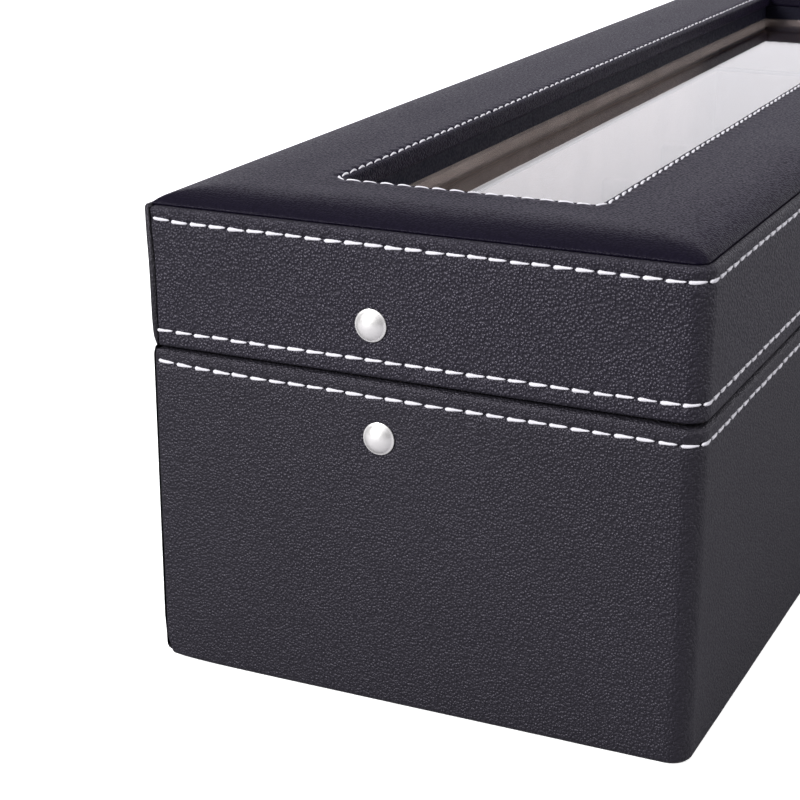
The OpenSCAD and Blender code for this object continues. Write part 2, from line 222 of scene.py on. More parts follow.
class Nodes:
    """Short names for building one material's node tree."""

    def __init__(self, name):
        self.material = bpy.data.materials.new(name)
        self.material.use_nodes = True
        self.tree = self.material.node_tree
        self.shader = self.tree.nodes["Principled BSDF"]
        self.out = self.tree.nodes["Material Output"]
        self.position = self.add("ShaderNodeTexCoord").outputs["Object"]

    def add(self, kind, **values):
        node = self.tree.nodes.new(kind)
        for name, value in values.items():
            setattr(node, name, value)
        return node

    def link(self, a, b):
        self.tree.links.new(a, b)

    def scaled(self, per_metre, stretch=(1, 1, 1)):
        node = self.add("ShaderNodeMapping")
        node.inputs["Scale"].default_value = [per_metre * v for v in stretch]
        self.link(self.position, node.inputs["Vector"])
        return node.outputs["Vector"]

    def noise(self, cell_mm, detail=3.0, roughness=0.5, stretch=(1, 1, 1)):
        node = self.add("ShaderNodeTexNoise")
        node.inputs["Scale"].default_value = 1.0
        node.inputs["Detail"].default_value = detail
        node.inputs["Roughness"].default_value = roughness
        self.link(self.scaled(1 / (cell_mm * MM), stretch), node.inputs["Vector"])
        return node.outputs["Fac"]

    def cells(self, cell_mm, warp=0.0):
        node = self.add("ShaderNodeTexVoronoi")
        node.inputs["Scale"].default_value = 1.0
        where = self.scaled(1 / (cell_mm * MM))
        if warp:
            wander = self.add("ShaderNodeTexNoise")
            wander.inputs["Scale"].default_value = 0.7
            self.link(where, wander.inputs["Vector"])
            shift = self.add("ShaderNodeVectorMath", operation="MULTIPLY_ADD")
            shift.inputs[1].default_value = (warp,) * 3
            self.link(wander.outputs["Color"], shift.inputs[0])
            self.link(where, shift.inputs[2])
            where = shift.outputs["Vector"]
        self.link(where, node.inputs["Vector"])
        return node.outputs["Distance"]

    def span(self, value, from_lo, from_hi, to_lo, to_hi):
        node = self.add("ShaderNodeMapRange")
        for name, number in (("From Min", from_lo), ("From Max", from_hi),
                             ("To Min", to_lo), ("To Max", to_hi)):
            node.inputs[name].default_value = number
        self.link(value, node.inputs["Value"])
        return node.outputs["Result"]

    def maths(self, operation, a, b):
        node = self.add("ShaderNodeMath", operation=operation)
        for socket, value in zip(node.inputs, (a, b)):
            if isinstance(value, (int, float)):
                socket.default_value = value
            else:
                self.link(value, socket)
        return node.outputs["Value"]

    def mix(self, share, a, b):
        """Mixes two colours by a share from 0 to 1."""
        node = self.add("ShaderNodeMix", data_type="RGBA")
        self.link(share, node.inputs["Factor"])
        for socket, value in ((node.inputs["A"], a), (node.inputs["B"], b)):
            if isinstance(value, tuple):
                socket.default_value = (*value, 1)
            else:
                self.link(value, socket)
        return node.outputs["Result"]

    def bump(self, height, depth_mm, strength=1.0, normal=None):
        node = self.add("ShaderNodeBump")
        node.inputs["Strength"].default_value = strength
        node.inputs["Distance"].default_value = depth_mm * MM
        self.link(height, node.inputs["Height"])
        if normal:
            self.link(normal, node.inputs["Normal"])
        return node.outputs["Normal"]

    def set(self, **values):
        for name, value in values.items():
            socket = self.shader.inputs[name.replace("_", " ")]
            if isinstance(value, bpy.types.NodeSocket):
                self.link(value, socket)
            else:
                socket.default_value = value
        return self.material


def leather(name, dark, light, cell, depth, rough, specular=0.35, sheen=0.0):
    """Coated leather with a pebble grain of the given cell size and depth."""
    n = Nodes(name)
    pebbles = n.span(n.maths("POWER", n.cells(cell, warp=0.5), 1.7), 0.0, 0.62, 1.0, 0.0)
    wrinkles = n.span(n.noise(cell * 2.6, 2.0), 0.3, 0.7, 0.65, 1.0)
    grain = n.maths("MULTIPLY", pebbles, wrinkles)
    patches = n.noise(31.0, 2.0)
    height = n.maths("ADD", grain, n.span(patches, 0.0, 1.0, 0.0, 1.2))
    # The grain's share of the tone paints the pebbles' tops lighter and their valleys darker: painted
    # highlight and painted shade. The patches add tone that differs at random.
    tone = n.maths("MULTIPLY", n.span(grain, 0.1, 0.8, 0.35, 1.0),
                   n.span(patches, 0.3, 0.7, 0.75, 1.0))
    roughness = n.span(grain, 0.0, 0.8, rough + 0.16, rough - 0.04)
    return n.set(Base_Color=n.mix(tone, dark, light), Roughness=roughness,
                 Normal=n.bump(height, depth), Specular_IOR_Level=specular,
                 Sheen_Weight=sheen, Sheen_Roughness=0.4,
                 Specular_Tint=(0.90, 0.85, 1.0, 1), Sheen_Tint=(0.62, 0.50, 0.92, 1))


def thread():
    """White sewing thread with a fine fibre."""
    n = Nodes("thread")
    fibre = n.noise(0.22, 3.0, stretch=(1, 1, 2.2))
    color = n.mix(n.noise(2.4, 2.0), (0.50, 0.49, 0.53), (0.66, 0.65, 0.69))
    return n.set(Base_Color=color, Roughness=n.span(fibre, 0.3, 0.7, 0.5, 0.75),
                 Normal=n.bump(fibre, 0.05), Sheen_Weight=0.3, Specular_IOR_Level=0.35)


def velvet(name, dark, light):
    """Short-pile velvet whose nap lies in soft patches."""
    n = Nodes(name)
    nap = n.noise(11.0, 3.0, 0.55, (1, 0.7, 1))
    pile = n.noise(0.35, 2.0)
    color = n.mix(n.maths("MULTIPLY", n.span(nap, 0.3, 0.7, 0.25, 1.0),
                          n.span(pile, 0.25, 0.75, 0.6, 1.0)), dark, light)
    return n.set(Base_Color=color, Roughness=n.span(nap, 0.3, 0.7, 0.85, 0.97),
                 Normal=n.bump(pile, 0.10, normal=n.bump(nap, 0.25)), Specular_IOR_Level=0.15,
                 Sheen_Weight=0.55, Sheen_Roughness=0.35, Sheen_Tint=(0.85, 0.78, 0.72, 1))


def metal(name, color, rough, brushed=0.0, metallic=1.0):
    """Plated metal with faint polishing marks."""
    n = Nodes(name)
    marks = n.noise(1.3, 4.0, 0.6, (1, 1, 1 + 9 * brushed))
    tone = n.mix(n.noise(2.1, 2.0), tuple(c * 0.93 for c in color), color)
    return n.set(Base_Color=tone, Metallic=metallic,
                 Roughness=n.span(marks, 0.25, 0.75, rough - 0.06, rough + 0.08),
                 Normal=n.bump(marks, 0.006 + 0.01 * brushed))


def fibreboard():
    """Bare fibreboard, seen where the lining ends."""
    n = Nodes("fibreboard")
    fibres = n.noise(0.8, 4.0, 0.6, (1, 1, 3))
    color = n.mix(fibres, (0.30, 0.19, 0.10), (0.48, 0.33, 0.19))
    return n.set(Base_Color=color, Roughness=n.span(fibres, 0.3, 0.7, 0.75, 0.9),
                 Normal=n.bump(fibres, 0.05))


def felt(name, dark, light, cell=0.6):
    """Matted fibres: the felt underside, and the foam."""
    n = Nodes(name)
    hair = n.noise(cell, 5.0, 0.65)
    return n.set(Base_Color=n.mix(hair, dark, light), Roughness=n.span(hair, 0.3, 0.7, 0.86, 0.98),
                 Normal=n.bump(hair, 0.12), Specular_IOR_Level=0.2, Sheen_Weight=0.25)


def glass():
    """Clear glass that lets lamps through to what lies behind it."""
    n = Nodes("glass")
    n.tree.nodes.remove(n.shader)
    pane = n.add("ShaderNodeBsdfGlass")
    pane.inputs["IOR"].default_value = 1.5
    pane.inputs["Roughness"].default_value = 0.0
    pane.inputs["Color"].default_value = (0.98, 0.975, 0.985, 1)
    clear = n.add("ShaderNodeBsdfTransparent")
    clear.inputs["Color"].default_value = (0.9, 0.91, 0.91, 1)
    blend = n.add("ShaderNodeMixShader")
    n.link(n.add("ShaderNodeLightPath").outputs["Is Shadow Ray"], blend.inputs["Fac"])
    n.link(pane.outputs["BSDF"], blend.inputs[1])
    n.link(clear.outputs["BSDF"], blend.inputs[2])
    n.link(blend.outputs["Shader"], n.out.inputs["Surface"])
    return n.material


SIDE_LEATHER = leather("side_leather", (0.0036, 0.0032, 0.0054), (0.0140, 0.0125, 0.0190),
                       cell=0.50, depth=0.215, rough=0.41)
BASE_LEATHER = leather("base_leather", (0.0046, 0.0042, 0.0060), (0.0136, 0.0124, 0.0172),
                       cell=0.44, depth=0.165, rough=0.42)
TOP_LEATHER = leather("top_leather", (0.0016, 0.0010, 0.0040), (0.0042, 0.0030, 0.0092),
                      cell=0.44, depth=0.07, rough=0.37, specular=0.07, sheen=0.03)
COVER_LEATHER = leather("cover_leather", (0.0050, 0.0050, 0.0056), (0.0135, 0.0130, 0.0150),
                        cell=0.50, depth=0.12, rough=0.45)
EDGE_PAPER = leather("edge_paper", (0.002, 0.002, 0.005), (0.005, 0.005, 0.011),
                     cell=0.5, depth=0.02, rough=0.5, specular=0.1)
THREAD = thread()
# Taupe velvet of the linings and the frame: its own colour painted lighter, as painted light, because little
# light reaches the frame under the glass
VELVET_PAINTED_LIGHTER = velvet("velvet", (0.24, 0.19, 0.165), (0.46, 0.38, 0.34))
CUSHION_VELVET = velvet("cushion_velvet", (0.17, 0.145, 0.123), (0.31, 0.27, 0.235))
NICKEL = metal("nickel", (0.90, 0.885, 0.87), 0.34, metallic=0.72)
STAY_STEEL = metal("stay_steel", (0.74, 0.73, 0.70), 0.3, brushed=1.0)
FIBREBOARD = fibreboard()
FELT = felt("felt", (0.010, 0.010, 0.011), (0.03, 0.03, 0.032))
FOAM = felt("foam", (0.62, 0.58, 0.48), (0.78, 0.74, 0.64), 1.1)
GLASS = glass()

CAD_MATERIALS = {"fibreboard": FIBREBOARD, "velvet": VELVET_PAINTED_LIGHTER, "felt": FELT, "foam": FOAM,
                 "glass": GLASS, "thread": THREAD, "nickel": NICKEL, "stay_steel": STAY_STEEL,
                 "side_leather": SIDE_LEATHER, "top_leather": TOP_LEATHER}


def dress_cad_nodes():
    """Gives each CAD node the material of its slot."""
    for part in frame["record"]["subparts"]:
        data = NODES[part["node"]].data
        data.materials.clear()
        data.materials.append(CAD_MATERIALS[part["material_slot"]])
    NODES["lid_top_board"].data.materials[0] = EDGE_PAPER


# ---------- side leather ----------

SKIN_BACK_Y = SKIN_Y + 0.5      # the skin's edge, turned round the back corner under the cover
SKIN_OUTLINE = Loop(END_X, FRONT_Y, SKIN_BACK_Y, CORNER_R, BACK_R)
BAND_Z = SEAM_Z - 0.1           # top of the stitched band under the pad
STITCH_STEPS = 9                # mesh columns per stitch
STITCHED = sum(SKIN_OUTLINE.lengths[:5])    # left end, front and right end
STITCH_COUNT = round(STITCHED / STITCH)
SIDE_PITCH = STITCHED / STITCH_COUNT
SKIN_COLUMNS = SKIN_OUTLINE.columns(SIDE_PITCH / STITCH_STEPS, back_step=5.0)


def skin_loop(inset):
    """The skin's outline, moved inwards."""
    tight = 0.05
    return Loop(END_X - inset, FRONT_Y + inset, SKIN_BACK_Y - inset,
                max(CORNER_R - inset, tight), max(BACK_R - inset, tight))


def settled(y, z):
    """Height after the leather has pulled a little: rim and rows aren't quite level."""
    share = (SKIN_BACK_Y - y) / (SKIN_BACK_Y - FRONT_Y)
    back = SKIN_BACK_Y - y
    rim = -0.15 - 0.45 * share
    low = 0.35 * bell(y - FRONT_Y, 7)
    # heights, and how far the leather has moved up there
    knots = [(42, 0), (BASE_ROW_Z, 0.35 - 0.75 * share + 0.6 * math.exp(-back / 6)),
             (RIM_Z, rim - low), (SLOT_Z, rim), (LID_ROW_Z, -0.25 - 0.15 * share), (76, 0),
             (TOP_ROW_Z, 0.5 * math.exp(-back / 4) - 0.1), (SEAM_Z, 0)]
    if z < 6:
        return z + 0.8 * math.exp(-back / 4) * (1 - z / 6) ** 2
    for (z0, d0), (z1, d1) in zip(knots, knots[1:]):
        if z0 <= z <= z1:
            return z + d0 + (d1 - d0) * (z - z0) / (z1 - z0)
    return z


def skin_edge(z):
    """How far the skin's edge falls short of the back corner."""
    if z > SLOT_Z:
        return 0.80 / (1 + math.exp((z - 79) / 2.2))
    return 1.5 * max(1 - z / 5.5, 0) ** 2


def dent(s, z, rows, rivet, seed):
    """How far the leather is pulled in at a place on the outside."""
    depth = 0.05 * noise.noise(Vector((s / 19, z / 19, seed)))
    depth += 0.025 * noise.noise(Vector((s / 6, z / 6, seed + 5)))
    for row_z in rows:
        if abs(z - row_z) < 3:
            hole = abs((s / SIDE_PITCH + 0.5) % 1 - 0.5) * SIDE_PITCH
            pull = 0.14 * bell(z - row_z, 0.8)
            if s < STITCHED:
                pull += 0.44 * bell(math.hypot(hole, z - row_z), 0.42)
            depth += pull
    for along in (SKIN_BACK_Y - BACK_R - rivet.y, STITCHED - (SKIN_BACK_Y - BACK_R - rivet.y)):
        if abs(s - along) < 9:
            reach = math.hypot(s - along, z - rivet.z)
            depth += 0.34 * bell(max(reach - 2.2, 0), 1.5)
    return depth


def side_skin(name, profile, rows, rivet, material, seed):
    """Leather round all four sides. The profile is a list of (inset, height)."""
    verts = []
    for inset, z in profile:
        loop = skin_loop(max(inset, 0))
        for part, share, s in SKIN_COLUMNS:
            point, normal = loop.at(part, share)
            outside = bell(max(inset - 0.4, 0), 0.8)
            point = point - normal * dent(s, z, rows, rivet, seed) * outside
            point.y -= skin_edge(z) * min(max(point.y - SKIN_BACK_Y + 1.6, 0) / 1.6, 1)
            verts.append((point.x, point.y, settled(point.y, z)))
    faces = loft_faces(len(profile), len(SKIN_COLUMNS))
    return make_mesh(name, verts, faces, material)


def wall_heights(low, high, rows):
    """Heights from low to high, closer together at each row of stitching."""
    near = [row + d for row in rows
            for d in (-2.2, -1.5, -1.0, -0.65, -0.35, 0, 0.35, 0.65, 1.0, 1.5, 2.2)]
    step = 2.6
    count = max(2, round((high - low) / step))
    even = [low + (high - low) * k / count for k in range(count + 1)]
    even = [z for z in even if all(abs(z - row) > step for row in rows)]
    return sorted(z for z in set(near + even) if low <= z <= high)


def base_skin():
    """The base's leather, from under its bottom edge over the rim to the lining."""
    bottom_r, rim_r = 1.1, 1.2
    bottom_z, inner = 0.04, BOARD_T
    profile = [(inner, bottom_z)]
    profile += arc(bottom_r, bottom_z + bottom_r, bottom_r, 270, 186, 7)
    profile += [(0, z) for z in wall_heights(bottom_z + bottom_r, RIM_Z - rim_r, [BASE_ROW_Z])]
    profile += arc(rim_r, RIM_Z - rim_r, rim_r, 174, 90, 7)
    profile += [(inner - 0.4, RIM_Z - 0.02), (inner - 0.1, RIM_Z - 0.12),
                (inner, RIM_Z - 0.5), (inner, RIM_Z - 1.2)]
    obj = side_skin("base_skin", profile, [BASE_ROW_Z], BASE_RIVET, BASE_LEATHER, 3)
    finish_piece(obj, "base", "side_leather", "base_leather")


def lid_skin():
    """The lid's leather, from its lining round the lower edge up to the groove under the pad."""
    hem_r, seam_r, inner = 0.8, 1.0, BOARD_T
    profile = [(inner, LID_Z + 1.2), (inner, LID_Z + 0.5),
               (inner - 0.1, LID_Z + 0.12), (inner - 0.4, LID_Z + 0.02)]
    profile += arc(hem_r, LID_Z + hem_r, hem_r, 270, 186, 7)
    profile += [(0, z) for z in wall_heights(LID_Z + hem_r, BAND_Z - seam_r, [LID_ROW_Z, TOP_ROW_Z])]
    profile += arc(seam_r, BAND_Z - seam_r, seam_r, 174, 84, 7)
    profile += [(1.06, BAND_Z - 0.25), (1.1, BAND_Z - 0.8), (1.5, BAND_Z - 1.1), (5, BAND_Z - 1.1)]
    obj = side_skin("lid_skin", profile, [LID_ROW_Z, TOP_ROW_Z], LID_RIVET, SIDE_LEATHER, 11)
    finish_piece(obj, "lid", "side_leather", "lid_leather")


# ---------- padded top ----------

PAD_INSET = 1.15                # groove between the pad and the lid's side
LIP_Z = SEAM_Z + 0.2            # where the pad's outer edge starts to rise
PAD_RISE = 2.65                 # crown of the pad above the seam
WINDOW_R = 0.8                  # the window's own corners
PAD_OUT = 4.0                   # the flat part's mesh ends this far outside the window
FLAT = 20                       # any distance where the pad's edge no longer shows


def window_loop(out):
    """Loop round the window at a distance outside its edge."""
    return Loop(WIN_X + out, -WIN_Y - out, WIN_Y + out, WINDOW_R + out, WINDOW_R + out)


WINDOW_ROW = window_loop(WINDOW_HEM)
WINDOW_COUNT = round(WINDOW_ROW.length / WINDOW_STITCH)
WINDOW_PITCH = WINDOW_ROW.length / WINDOW_COUNT


def pad_loop(inset):
    """Loop in the groove round the pad. At the back the pad reaches the back cover."""
    return Loop(END_X - inset, FRONT_Y + inset, BACK_Y - 0.2 - (inset - PAD_INSET), 2.2, 0.4)


def pad_z(outer, inner):
    """Height of the pad at distances from its outer edge and from the window's edge."""
    rise = PAD_RISE * (1 - math.exp(-(max(outer, 0) / 3.3) ** 0.9))
    dip = 0.34 * bell(inner - 0.6, 1.2) + 0.12 * bell(inner - 7, 5)
    return LIP_Z + rise - dip


BOARD_TOP = cad_box("lid_top_board")[1].z
# down the window's wall and on to the board's edge: distance outside the window, height
PAD_FOLD = ((0, 2.0), (0, 1.4), (0, 0.9), (0, 0.5), (0.06, 0.25), (0.25, 0.06), (0.6, 0.02))


def pad_top():
    """Padded leather top, its edge in the groove and its fold down the window's wall."""
    columns = WINDOW_ROW.columns(WINDOW_PITCH / STITCH_STEPS)
    verts, rows = [], 0
    for further, up in ((0.9, -1.2), (0.62, -0.8), (0.32, -0.42), (0.10, -0.12), (0.01, 0.06)):
        loop = pad_loop(PAD_INSET + further)
        verts += [(*loop.at(part, share)[0], SEAM_Z + up) for part, share, _ in columns]
        rows += 1
    outer_loop, inner_loop = pad_loop(PAD_INSET), window_loop(PAD_OUT)
    shares = [0.0, 0.006, 0.015, 0.03, 0.05, 0.075, 0.10, 0.13, 0.165, 0.2, 0.25, 0.3, 0.36, 0.43, 0.5,
              0.57, 0.64, 0.71, 0.78, 0.84, 0.89, 0.935, 0.97]
    for u in shares:
        for part, share, _ in columns:
            a, _ = outer_loop.at(part, share)
            b, _ = inner_loop.at(part, share)
            p = a.lerp(b, u)
            width = (a - b).length
            soft = 0.11 * noise.noise(Vector((p.x / 24, p.y / 17, 4))) * math.sin(math.pi * u)
            z = pad_z(u * min(width, 24), PAD_OUT + (1 - u) * FLAT)
            verts.append((p.x, p.y, z + soft))
        rows += 1
    for out in (PAD_OUT, 3.3, 2.7, 2.2, 1.8, 1.5, 1.35, 1.2, 1.05, 0.9, 0.75, 0.6):
        loop = window_loop(out)
        for part, share, s in columns:
            p, _ = loop.at(part, share)
            hole = abs((s / WINDOW_PITCH + 0.5) % 1 - 0.5) * WINDOW_PITCH
            pull = 0.22 * bell(math.hypot(hole, out - WINDOW_HEM), 0.55)
            pucker = 0.06 * bell(out - 2.1, 0.9) * math.cos(2 * math.pi * s / WINDOW_PITCH)
            verts.append((p.x, p.y, pad_z(FLAT, out) - pull - pucker))
        rows += 1
    fold_r = 0.6
    wall = arc(fold_r, pad_z(FLAT, fold_r) - fold_r, fold_r, 75, 180, 5)
    wall += [(out, BOARD_TOP + up) for out, up in PAD_FOLD]
    for out, z in wall:
        loop = window_loop(max(out, 0))
        for part, share, _ in columns:
            p, n = loop.at(part, share)
            shift = 0.05 * noise.noise(Vector((p.x / 9, p.y / 9, z / 5)))
            verts.append((p.x + n.x * shift, p.y + n.y * shift, z))
        rows += 1
    obj = make_mesh("padded_top", verts, loft_faces(rows, len(columns)), TOP_LEATHER)
    finish_piece(obj, "lid", "top_leather", "top_leather")


# ---------- stitching ----------

RING, RINGS = 10, 11            # mesh points round and along a stitch


def stitch_mesh(verts, faces, path, rng, width, lift, slant, reach):
    """Adds one stitch, thick at its start and thin at its end.

    path(t) gives a point, the surface's normal and the way across it. The stitch's middle
    stands lift above the surface, slant turns it, and reach is its share of the pitch.
    """
    start = len(verts)
    twist = rng.uniform(0, math.pi)
    wobble = rng.uniform(-0.07, 0.07)
    width *= rng.uniform(0.87, 1.10)
    reach *= rng.uniform(0.93, 1.04)
    slant += rng.uniform(-0.08, 0.08)
    for i in range(RINGS):
        t = i / (RINGS - 1)
        point, normal, across = path(0.05 + reach * t)
        thick = width / 2 * (1.08 - 0.62 * t ** 1.3) * (min(1, (t + 0.02) / 0.10) ** 0.5)
        thick *= max(min(1, (1.03 - t) / 0.10), 0.05) ** 0.5
        height = lift * (math.sin(math.pi * min(max(t, 0.02), 0.98)) ** 0.45) - 0.28 * (1 - lift)
        centre = point + normal * height + across * ((t - 0.5) * slant + wobble)
        for k in range(RING):
            a = 2 * math.pi * k / RING
            r = thick * (1 + 0.10 * math.cos(2 * (a - twist) - 7.5 * t))
            verts.append(centre + across * (r * math.cos(a)) + normal * (r * 0.86 * math.sin(a)))
    faces += loft_faces(RINGS, RING, start)
    faces.append(tuple(range(start, start + RING)))
    faces.append(tuple(range(start + (RINGS - 1) * RING, start + RINGS * RING)))


def side_stitching(name, z, body, node, seed):
    """A row of stitches round the front and both ends."""
    rng = random.Random(seed)
    verts, faces = [], []
    for k in range(STITCH_COUNT):
        def path(t, k=k):
            s = (k + t) * SIDE_PITCH
            p, n = SKIN_OUTLINE.at(*SKIN_OUTLINE.walk(s))
            return Vector((p.x, p.y, settled(p.y, z))), Vector((n.x, n.y, 0)), Vector((0, 0, 1))
        stitch_mesh(verts, faces, path, rng, width=0.66, lift=0.15, slant=0.08, reach=0.88)
    finish_piece(make_mesh(name, verts, faces, THREAD), body, "thread", node)


def window_stitches():
    """The stitches that hold the leather down round the window."""
    rng = random.Random(9)
    verts, faces = [], []
    top = pad_z(FLAT, WINDOW_HEM)
    for k in range(WINDOW_COUNT):
        def path(t, k=k):
            p, n = WINDOW_ROW.at(*WINDOW_ROW.walk((k + t) * WINDOW_PITCH))
            return Vector((p.x, p.y, top)), Vector((0, 0, 1)), Vector((n.x, n.y, 0))
        stitch_mesh(verts, faces, path, rng, width=0.54, lift=0.27, slant=-0.24, reach=0.78)
    obj = make_mesh("window_stitches", verts, faces, THREAD)
    finish_piece(obj, "lid", "thread", "window_stitching")


# ---------- back cover ----------

def back_cover():
    """One strip of leather up the back of the base and the lid: it is the hinge."""
    top_z = lid_cover_hi.z - 0.45
    foot_r = 2.3                # rounding at the bottom
    low, high = cover_lo.z - 0.1, top_z - 0.75
    fine_lo, fine_hi = 54, 66   # finer mesh where it bends

    def outer_y(z):
        swell = 0.52 * (1 - math.exp(-(z - SLOT_Z) / 3)) + 0.46 / (1 + math.exp(-(z - 77.5) / 2.5))
        flex = 0.38 * bell(z - SLOT_Z, 1.1)
        foot = foot_r - math.sqrt(foot_r ** 2 - min(max(low + foot_r - z, 0), foot_r) ** 2)
        belly = 0.28 * math.sin(math.pi * min(z / SLOT_Z, 1)) ** 0.6
        return BACK_Y - 0.03 + (swell if z > SLOT_Z else belly) - flex - foot

    heights = [low + foot_r * d for d in (0.06, 0.15, 0.3, 0.5, 0.75)]
    heights += [low + foot_r + (fine_lo - low - foot_r) * k / 9 for k in range(10)]
    heights += [fine_lo + (fine_hi - fine_lo) * k / 30 for k in range(1, 31)]
    heights += [fine_hi + (high - fine_hi) * k / 14 for k in range(1, 15)]
    # y, z and which way the edge's rounding moves the point: -1 outside, 1 against the box
    outline = [(outer_y(z), z, -1) for z in heights]
    tip, seat = outer_y(high), SKIN_BACK_Y + 0.03
    outline += [(tip - 0.06, high + 0.24, -1), (tip - 0.22, high + 0.46, -1),
                (tip - 0.47, high + 0.64, -1), (tip - 0.8, high + 0.72, 1), (seat, high + 0.7, 1)]
    outline += [(min(seat - skin_edge(z), outer_y(z) - 0.35), z, 1) for z in reversed(heights)]
    x_end = END_X - 0.28
    stations = [-x_end, -x_end + 0.1, -x_end + 0.3, -x_end + 0.6]
    stations += [-x_end + 1 + (2 * x_end - 2) * k / 80 for k in range(81)]
    stations += [x_end - 0.6, x_end - 0.3, x_end - 0.1, x_end]
    verts = []
    for x in stations:
        edge = x_end - abs(x)
        shrink = 0.36 * (1 - min(edge / 0.8, 1)) ** 2
        for y, z, side in outline:
            foot = foot_r - math.sqrt(foot_r ** 2 - min(max(low + foot_r - z, 0), foot_r * 0.98) ** 2)
            wave = 0.07 * noise.noise(Vector((x / 30, z / 20, 21))) * min(max(z - 3, 0) / 10, 1)
            verts.append((max(-x_end + foot, min(x, x_end - foot)),
                          y + side * shrink + (wave if side < 0 else 0), z))
    faces = loft_faces(len(stations), len(outline))
    last = (len(stations) - 1) * len(outline)
    faces.append(tuple(range(len(outline))))
    faces.append(tuple(range(last, last + len(outline))))
    obj = make_mesh("back_cover", verts, faces, COVER_LEATHER)
    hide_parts("back_cover_base", "back_cover_lid")
    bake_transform(obj)


# ---------- rivets ----------

CAP_R, CAP_H = 2.88, 1.5        # radius and height of a rivet's cap
POST_R = 1.4                    # the post between a rivet's heads


def cap_profile(radius, height):
    """A domed cap with a rounded edge, from its top to its underside."""
    big = (radius ** 2 + height ** 2) / (2 * height)
    out = []
    for k in range(10):
        r = radius * 0.95 * k / 9
        out.append((max(r, 0.001), height - big + math.sqrt(big ** 2 - r ** 2)))
    out += [(radius * 0.99, height * 0.13), (radius, height * 0.04), (radius * 0.985, -0.12),
            (POST_R, -0.16)]
    return out


def rivet_profile(post, spacer):
    """Cap, post, optional spacer and inner head, all on one axis."""
    wall, head_r, head_t = 7.0, 2.6, 0.7
    out = cap_profile(CAP_R, CAP_H)
    if spacer:
        out += [(POST_R, -wall - 0.02), (2.2, -wall - 0.03), (2.3, -wall - 0.1),
                (2.3, -wall - spacer + 0.1), (2.2, -wall - spacer), (POST_R, -wall - spacer)]
    out += [(POST_R, -post), (head_r - 0.1, -post), (head_r, -post - 0.1), (head_r - 0.1, -post - 0.35),
            (head_r * 0.7, -post - 0.6), (head_r * 0.3, -post - head_t), (0.001, -post - head_t)]
    return out


def end_rivets(name, place, post, spacer, body, node):
    """The same rivet in the left end and in the right end."""
    verts, faces = [], []
    for side in (-1, 1):
        turn = Matrix.Rotation(math.radians(90 * side), 4, "Y")
        spot = Matrix.Translation((side * (END_X - 0.12), place.y, place.z)) @ turn
        v, f = lathe(rivet_profile(post, spacer), spot)
        faces += [tuple(i + len(verts) for i in face) for face in f]
        verts += v
    finish_piece(make_mesh(name, verts, faces, NICKEL), body, "nickel", node)


# ---------- tab ----------

TAB_T = 1.6                     # leather of the tab
anchor_lo, anchor_hi = cad_box("tab_anchor")
flap_lo, flap_hi = cad_box("clasp_tab")
rivet_lo, rivet_hi = cad_box("tab_rivet")
button_lo, button_hi = cad_box("tab_button")
TAB_FRONT_Y = flap_lo.y
TAB_R = flap_hi.x               # half its width and the radius of its tip


def clasp():
    """One leather tab in one mesh, anchor above the flex line and flap below it, pinched thinner along that
    line.
    """
    tip_z, top_z, edge_r = flap_lo.z, anchor_hi.z, 0.55
    round_z = tip_z + TAB_R
    flex_z = (flap_hi.z + anchor_lo.z) / 2
    mid_y = TAB_FRONT_Y + TAB_T / 2
    levels = [tip_z + TAB_R * (1 - math.cos(math.radians(a)))
              for a in (1, 4, 8, 13, 19, 26, 34, 43, 53, 64, 76)]
    levels += [round_z + (top_z - 1 - round_z) * k / 34 for k in range(35)]
    levels += [top_z - d for d in (0.55, 0.3, 0.1, 0.0)]
    rim = [-1, -0.992, -0.975, -0.955, -0.92, -0.88, -0.845, -0.81, -0.77]
    sides = rim + [k / 10 for k in range(-7, 8)] + [-u for u in reversed(rim)]
    button_z = (button_lo.z + button_hi.z) / 2
    verts = []
    for z in levels:
        half = TAB_R if z >= round_z else math.sqrt(max(TAB_R ** 2 - (round_z - z) ** 2, 0.01))
        for face in (-1, 1):
            for u in sides[::-face]:
                x = u * half
                inside = TAB_R - (abs(x) if z >= round_z else math.hypot(x, round_z - z))
                edge = min(inside, top_z - z)
                near = edge_r - min(max(edge, 0), edge_r)
                y = TAB_T / 2 - edge_r + math.sqrt(edge_r ** 2 - near ** 2)
                if face < 0:    # a pressed line round the edge and a dip round the button
                    y -= 0.20 * bell(edge - 1.9, 0.35)
                    y -= 0.22 * bell(math.hypot(x, z - button_z) - 5.6, 0.8)
                else:
                    y -= 0.08
                y -= 0.28 * bell(z - flex_z, 0.9)
                soft = 0.05 * noise.noise(Vector((x / 7, z / 7, 31)))
                verts.append((x, mid_y + face * (y + soft), z))
    ring = 2 * len(sides)
    faces = loft_faces(len(levels), ring)
    faces.append(tuple(range(ring)))
    faces.append(tuple(range(ring * (len(levels) - 1), ring * len(levels))))
    obj = make_mesh("clasp", verts, faces, BASE_LEATHER)
    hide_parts("tab_anchor", "clasp_tab")
    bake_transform(obj)


